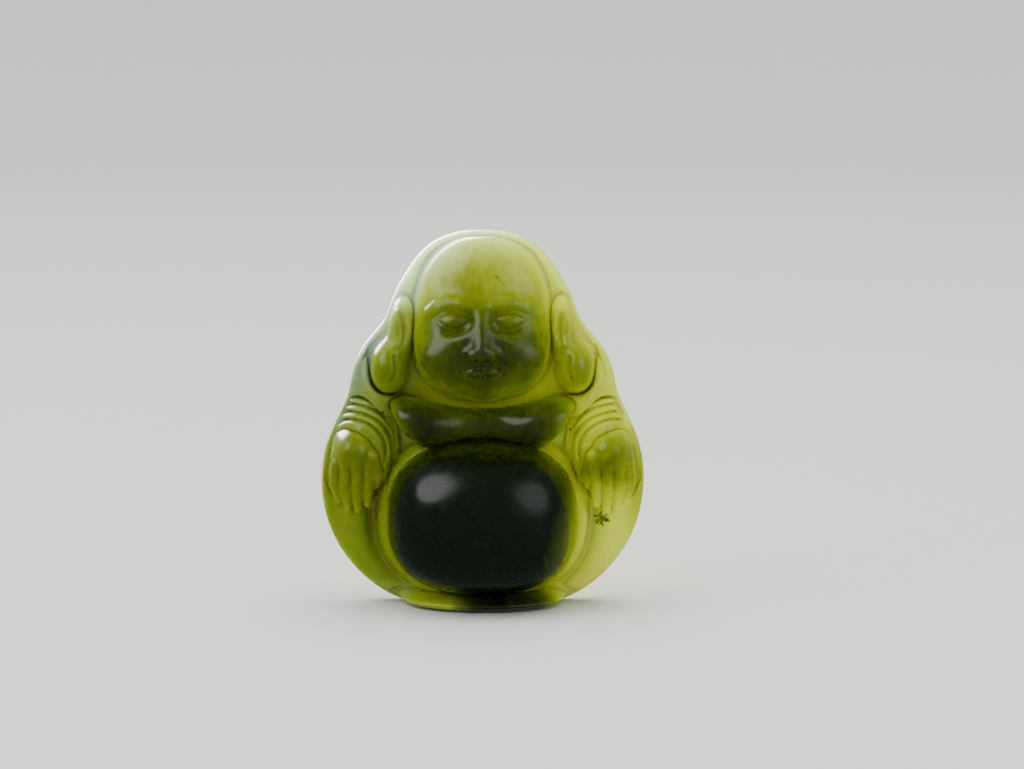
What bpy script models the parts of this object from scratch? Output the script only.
"""Seated round-bellied figure carved in jade, as a small upright plaque.

The stone is a flat-backed slab with the figure standing out from its front. Each form that the carver
outlined is its own solid: the slab, head, ears, shoulders, chest, belly, lapels, sleeves, hands, knees
and the hem that the figure stands on.
Frame: X to the viewer's right, -Y out of the front, +Z up, origin under the middle at foot level.
"""

import math

import bmesh
import bpy
from mathutils import Matrix

MM = 0.001

# Driving dimensions.
HEIGHT = 48.0 * MM
DEPTH = 15.6 * MM
SLAB_DEPTH = 3.4 * MM
EDGE_ROUNDING = 1.1 * MM
FOOT_HALF_WIDTH = 8.6 * MM
JOINT_GAP = 0.3 * MM
RIM = 0.45 * MM  # bare slab left between a form and the outline
LAP_TOP = 14.0 * MM

BACK_Y = DEPTH / 2
SLAB_FRONT_Y = BACK_Y - SLAB_DEPTH
FORM_BACK_Y = SLAB_FRONT_Y - JOINT_GAP

# The figure's own left is on the viewer's right.
SIDES = {"left": 1, "right": -1}

# Right half of the slab's outline, from the flat foot up to the crown, as (half width, height) in mm.
HALF_OUTLINE = [
    (11.2, 0.7),
    (14.4, 2.7),
    (17.3, 5.7),
    (19.3, 9.1),
    (20.4, 12.9),
    (20.7, 16.8),
    (20.1, 20.6),
    (18.7, 24.1),
    (17.3, 27.2),
    (16.7, 30.2),
    (15.1, 33.4),
    (12.5, 36.6),
    (11.3, 39.8),
    (9.7, 42.6),
    (7.0, 46.0),
    (3.7, 47.6),
]


def start_scene():
    """An empty scene, with one collection for the figure and one for its cutters."""
    for obj in list(bpy.data.objects):
        bpy.data.objects.remove(obj, do_unlink=True)
    made = []
    for name in ("jade_figurine", "cutters"):
        collection = bpy.data.collections.new(name)
        bpy.context.scene.collection.children.link(collection)
        made.append(collection)
    return made


FIGURE, CUTTERS = start_scene()


def stone(name, colour, roughness):
    """Polished, non-metallic stone of one colour."""
    material = bpy.data.materials.new(name)
    material.use_nodes = True
    shader = material.node_tree.nodes["Principled BSDF"]
    shader.inputs["Base Color"].default_value = (*colour, 1.0)
    shader.inputs["Roughness"].default_value = roughness
    shader.inputs["Metallic"].default_value = 0.0
    return material


PALE_JADE = stone("pale_jade", (0.45, 0.56, 0.16), 0.25)
OLIVE_JADE = stone("olive_jade", (0.17, 0.24, 0.02), 0.22)
DEEP_JADE = stone("deep_jade", (0.03, 0.05, 0.006), 0.2)


def add_part(name, mesh, material):
    """A piece of the figure."""
    obj = bpy.data.objects.new(name, mesh)
    obj.data.materials.append(material)
    FIGURE.objects.link(obj)
    return obj


def add_cutter(name, mesh):
    """A helper that only shapes other pieces."""
    obj = bpy.data.objects.new(name, mesh)
    obj.hide_render = True
    obj.display_type = "WIRE"
    CUTTERS.objects.link(obj)
    return obj


def blob(x, z, half_width, half_height, stands_out, power=2.0, segments=28, tilt=0.0):
    """A rounded form, in mm: its middle on the slab, its half sizes, and how far it stands out of the slab.
    Power 2 is an ellipsoid, and more is squarer. Tilt, in degrees, turns it about Y, top towards +X."""
    return {
        "centre": (x * MM, SLAB_FRONT_Y, z * MM),
        "radii": (half_width * MM, stands_out * MM, half_height * MM),
        "power": power,
        "segments": segments,
        "tilt": math.radians(tilt),
    }


def blob_mesh(name, shape, grow=0.0):
    """The blob as a mesh. Its poles lie along Y, so that its rings are parallel to the slab.
    A grown blob moves back as well, or its widest ring would lie in the same plane as its neighbours'."""
    bm = bmesh.new()
    bmesh.ops.create_uvsphere(bm, u_segments=shape["segments"], v_segments=shape["segments"] // 2, radius=1.0)
    bmesh.ops.rotate(bm, verts=bm.verts, matrix=Matrix.Rotation(math.pi / 2, 3, "X"))
    for vertex in bm.verts:
        length = sum(abs(part) ** shape["power"] for part in vertex.co) ** (1 / shape["power"])
        vertex.co = [part / length * (radius + grow) for part, radius in zip(vertex.co, shape["radii"])]
    bmesh.ops.rotate(bm, verts=bm.verts, matrix=Matrix.Rotation(shape["tilt"], 3, "Y"))
    x, y, z = shape["centre"]
    bmesh.ops.translate(bm, verts=bm.verts, vec=(x, y + grow, z))
    mesh = bpy.data.meshes.new(name)
    bm.to_mesh(mesh)
    bm.free()
    mesh.shade_smooth()
    return mesh


def mesh_from_curve(curve_object):
    """The curve's mesh in world space, its caps welded to its sides. The curve is removed."""
    graph = bpy.context.evaluated_depsgraph_get()
    mesh = bpy.data.meshes.new_from_object(curve_object.evaluated_get(graph))
    mesh.transform(curve_object.matrix_world)
    bm = bmesh.new()
    bm.from_mesh(mesh)
    bmesh.ops.remove_doubles(bm, verts=bm.verts, dist=0.001 * MM)
    bmesh.ops.recalc_face_normals(bm, faces=bm.faces)
    bm.to_mesh(mesh)
    bm.free()
    bpy.data.objects.remove(curve_object)
    return mesh


def plate_mesh(name, inset, back_y, front_y, rounding=0.0):
    """The slab's outline as an upright plate, drawn in by inset, between two depths."""
    curve = bpy.data.curves.new(name, "CURVE")
    curve.dimensions = "2D"
    curve.fill_mode = "BOTH"
    curve.resolution_u = 3
    curve.offset = -inset - rounding
    curve.extrude = (back_y - front_y) / 2 - rounding
    curve.bevel_depth = rounding
    curve.bevel_resolution = 2
    right = [(FOOT_HALF_WIDTH, -inset)] + [(x * MM, z * MM) for x, z in HALF_OUTLINE]
    points = right + [(0.0, HEIGHT)] + [(-x, z) for x, z in reversed(right)]
    spline = curve.splines.new("BEZIER")
    spline.bezier_points.add(len(points) - 1)
    for point, (x, z) in zip(spline.bezier_points, points):
        point.co = (x, z, 0.0)
        point.handle_left_type = point.handle_right_type = "AUTO"
    spline.bezier_points[0].handle_left_type = "VECTOR"
    spline.bezier_points[-1].handle_right_type = "VECTOR"
    spline.use_cyclic_u = True
    obj = bpy.data.objects.new(name, curve)
    upright = Matrix.Rotation(math.pi / 2, 4, "X")
    obj.matrix_world = Matrix.Translation((0, (back_y + front_y) / 2, 0)) @ upright
    FIGURE.objects.link(obj)
    bpy.context.view_layer.update()
    return mesh_from_curve(obj)


def boolean(obj, operation, other):
    """Cuts, joins or trims obj by another mesh object. EXACT loses whole pieces where forms this small
    graze each other, and every mesh here is closed, so the solver is MANIFOLD."""
    modifier = obj.modifiers.new(f"{operation.lower()}_{other.name}", "BOOLEAN")
    modifier.operation = operation
    modifier.solver = "MANIFOLD"
    modifier.object = other


def grown_cutters(name, shapes):
    """The shapes of a form, each larger by the joint gap, to cut its neighbours with."""
    return [
        add_cutter(f"cut_{name}_{i}", blob_mesh(f"cut_{name}_{i}", shape, JOINT_GAP))
        for i, shape in enumerate(shapes)
    ]


def carve(name, shapes, material, neighbours=()):
    """One form: its shapes joined, trimmed to the stock in front of the slab, and cleared of its neighbours."""
    part = add_part(name, blob_mesh(name, shapes[0]), material)
    for i, shape in enumerate(shapes[1:], 1):
        boolean(part, "UNION", add_cutter(f"join_{name}_{i}", blob_mesh(f"join_{name}_{i}", shape)))
    trim(part, neighbours)


def trim(part, neighbours):
    """Cuts a form off at the slab and the outline, and then clears it of its neighbours."""
    boolean(part, "INTERSECT", STOCK)
    for cutter in neighbours:
        boolean(part, "DIFFERENCE", cutter)


def finger_shapes(side):
    """Four fingers that point down from the knuckles, the outer ones shorter and lower."""
    first_x, pitch, knuckle_z = 14.3, 1.55, 18.2
    shapes = []
    for i, half_length in enumerate((3.1, 3.5, 3.4, 2.9)):
        middle_z, stands_out = knuckle_z - half_length, 4.4 - 0.25 * i
        shapes.append(blob(side * (first_x + pitch * i), middle_z, 0.86, half_length, stands_out, 2.4, 12))
    return shapes


def hand_shapes(side):
    back_of_hand = blob(side * 16.5, 20.2, 3.1, 3.0, 5.3, 2.2, 20)
    palm = blob(side * 16.6, 16.2, 3.5, 3.4, 3.7, 2.6, 18)
    thumb = blob(side * 13.9, 17.6, 0.95, 2.3, 3.9, 2.2, 12, tilt=side * 14)
    return [back_of_hand, palm, thumb] + finger_shapes(side)


def ear_shapes(side):
    upper = blob(side * 10.3, 35.9, 1.75, 4.2, 4.2, 2.2, 18, tilt=side * 4)
    lobe = blob(side * 11.9, 30.7, 2.35, 3.4, 4.9, 2.2, 18)
    return [upper, lobe]


def lapel_shapes(side):
    """The robe's open edge: a low ring around the belly, and a fold that runs from it up to the collar."""
    beside_belly = blob(0, 11.65, 13.6, 11.7, 5.2, 2.5, 36)
    collar = blob(side * 11.6, 21.8, 1.4, 5.8, 3.6, 2.2, 18, tilt=-side * 13)
    return [beside_belly, collar]


def chest_shapes():
    breastbone = blob(0, 23.6, 8.2, 2.6, 5.8, 2.4, 24)
    return [breastbone] + [blob(side * 6.5, 23.9, 4.3, 3.4, 7.4, 2.2, 22) for side in SIDES.values()]


def head_shapes():
    skull = blob(0, 37.0, 8.7, 10.55, 8.0, 2.25, 32)
    nose = blob(0, 35.6, 2.1, 3.2, 9.1, 2.0, 16)
    return [skull, nose]


def box_cutter(name, low, high):
    """A block between two corners."""
    bm = bmesh.new()
    bmesh.ops.create_cube(bm, size=1.0)
    for vertex in bm.verts:
        vertex.co = [a + (part + 0.5) * (b - a) for part, a, b in zip(vertex.co, low, high)]
    mesh = bpy.data.meshes.new(name)
    bm.to_mesh(mesh)
    bm.free()
    return add_cutter(name, mesh)


def side_trim(side_name):
    """A block over the other side of the figure, which leaves one half of a form that spans both."""
    side, far = SIDES[side_name], 2 * HEIGHT
    low_x, high_x = sorted((side * JOINT_GAP / 2, -side * far))
    return box_cutter(f"other_side_of_{side_name}", (low_x, -far, -far), (high_x, far, far))


def build_figure():
    """Every piece, the highest forms first, because each lower one is cut back around them."""
    add_part("back_slab", plate_mesh("back_slab", 0.0, BACK_Y, SLAB_FRONT_Y, EDGE_ROUNDING), PALE_JADE)

    belly = [blob(0, 11.65, 11.9, 10.05, (DEPTH - SLAB_DEPTH) / MM, 2.5, 36)]
    carve("belly", belly, DEEP_JADE)
    around_belly = grown_cutters("belly", belly)

    head = head_shapes()
    carve("head", head, OLIVE_JADE)
    around_head = grown_cutters("head", head[:1])

    carve("chest", chest_shapes(), DEEP_JADE, around_belly + around_head)
    around_chest = grown_cutters("chest", chest_shapes())

    hem = [blob(0, 1.0, 10.6, 2.7, 7.4, 2.6, 24)]
    carve("hem", hem, PALE_JADE, around_belly)
    around_hem = grown_cutters("hem", hem)

    above_lap = box_cutter("above_lap", (-HEIGHT, -HEIGHT, LAP_TOP), (HEIGHT, HEIGHT, 2 * HEIGHT))
    for name, side in SIDES.items():
        other_side = side_trim(name)
        ear, hand = ear_shapes(side), hand_shapes(side)
        carve(f"{name}_ear", ear, OLIVE_JADE, around_head)
        carve(f"{name}_hand", hand, OLIVE_JADE)
        around_ear = grown_cutters(f"{name}_ear", ear)
        around_hand = grown_cutters(f"{name}_hand", hand)

        lapel = lapel_shapes(side)
        on_top = around_belly + around_chest + around_hem + around_ear + around_hand
        carve(f"{name}_lapel", lapel, OLIVE_JADE, [other_side] + on_top)
        around_lapel = grown_cutters(f"{name}_lapel", lapel)

        shoulder = [blob(side * 11.6, 30.2, 5.3, 6.8, 3.0, 2.2, 24)]
        carve(f"{name}_shoulder", shoulder, PALE_JADE, around_head + around_chest + around_ear + around_lapel)
        around_shoulder = grown_cutters(f"{name}_shoulder", shoulder)

        sleeve = [blob(side * 16.2, 20.6, 5.0, 7.0, 4.0, 2.2, 24)]
        carve(f"{name}_sleeve", sleeve, OLIVE_JADE, around_lapel + around_hand + around_shoulder)
        around_sleeve = grown_cutters(f"{name}_sleeve", sleeve)

        lap = [blob(0, 15.8, 20.6, 16.6, 3.2, 2.2, 36)]
        on_top = around_belly + around_hem + around_lapel + around_hand + around_sleeve
        carve(f"{name}_knee", lap, PALE_JADE, [other_side, above_lap] + on_top)


STOCK = add_cutter("stock", plate_mesh("stock", RIM, FORM_BACK_Y, -DEPTH))
build_figure()
